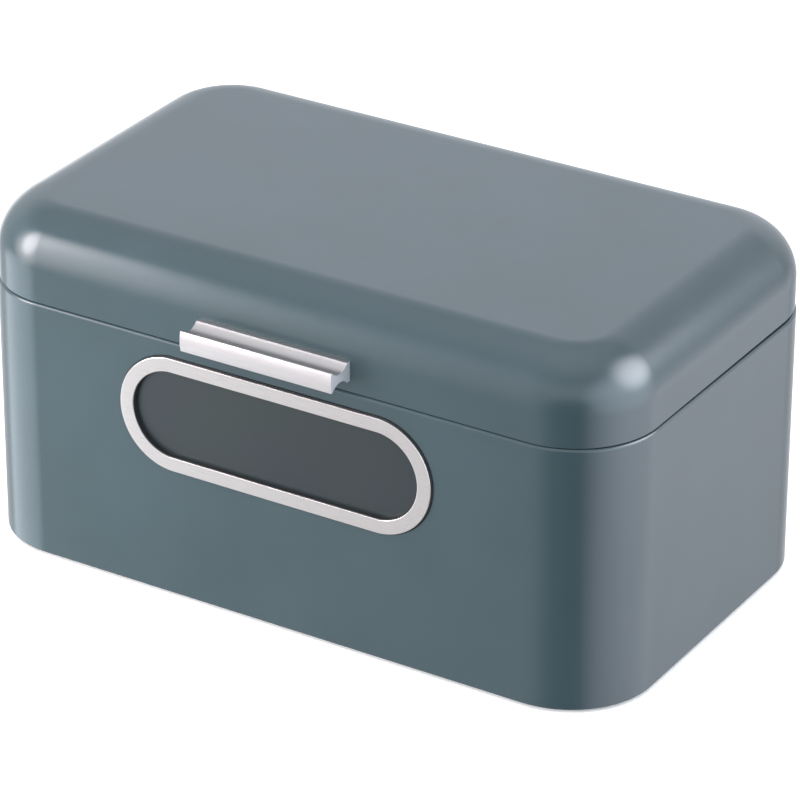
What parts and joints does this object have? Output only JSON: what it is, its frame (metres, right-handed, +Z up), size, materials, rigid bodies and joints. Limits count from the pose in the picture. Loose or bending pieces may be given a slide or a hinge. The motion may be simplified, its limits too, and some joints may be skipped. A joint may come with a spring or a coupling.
{
  "type": "bread bin",
  "caption": "Box bread bin in lacquered sheet steel with a rear-hinged lid, a short metal bar handle and a long round-ended front window.",
  "frame": {"origin": "centre of the bounding box in plan, on the surface the feet stand on", "axes": "+X to the bin's right seen from the front, along its length; +Y to the back, where the hinges are; +Z up"},
  "size_m": [0.425, 0.28, 0.213],
  "materials": {
    "lacquered_steel": "satin slate grey-blue lacquer",
    "inner_steel": "satin slate grey-blue lacquer",
    "brushed_steel": "fine brushed",
    "anodised_aluminium": "satin anodised",
    "black_rubber": "matte",
    "smoked_acrylic": "polished smoked sheet",
    "plated_steel": "bright zinc plate",
    "silicone": "translucent matte"
  },
  "bodies": {
    "base": {"base_rivets": "plated_steel", "base_wall": "lacquered_steel", "bottom_panel": "inner_steel", "foot_front_left": "black_rubber", "foot_front_right": "black_rubber", "foot_rear_left": "black_rubber", "foot_rear_right": "black_rubber", "hinge_left_base_leaf": "plated_steel", "hinge_left_pin": "plated_steel", "hinge_right_base_leaf": "plated_steel", "hinge_right_pin": "plated_steel", "window_frame": "brushed_steel", "window_gasket": "black_rubber", "window_nuts": "plated_steel", "window_pane": "smoked_acrylic", "window_retainer": "plated_steel", "window_studs": "plated_steel"},
    "lid": {"lid_shell": "lacquered_steel", "handle": "anodised_aluminium", "handle_screws": "plated_steel", "handle_washers": "plated_steel", "lid_buffers": "silicone", "lid_rivets": "plated_steel", "hinge_left_lid_leaf": "plated_steel", "hinge_right_lid_leaf": "plated_steel"}
  },
  "joints": [
    {"name": "lid_hinge", "type": "hinge", "parent": "base", "child": "lid", "pos_m": [0, 0.1345, 0.1633], "axis": [-1, 0, 0], "range_deg": [0, 100]}
  ]
}
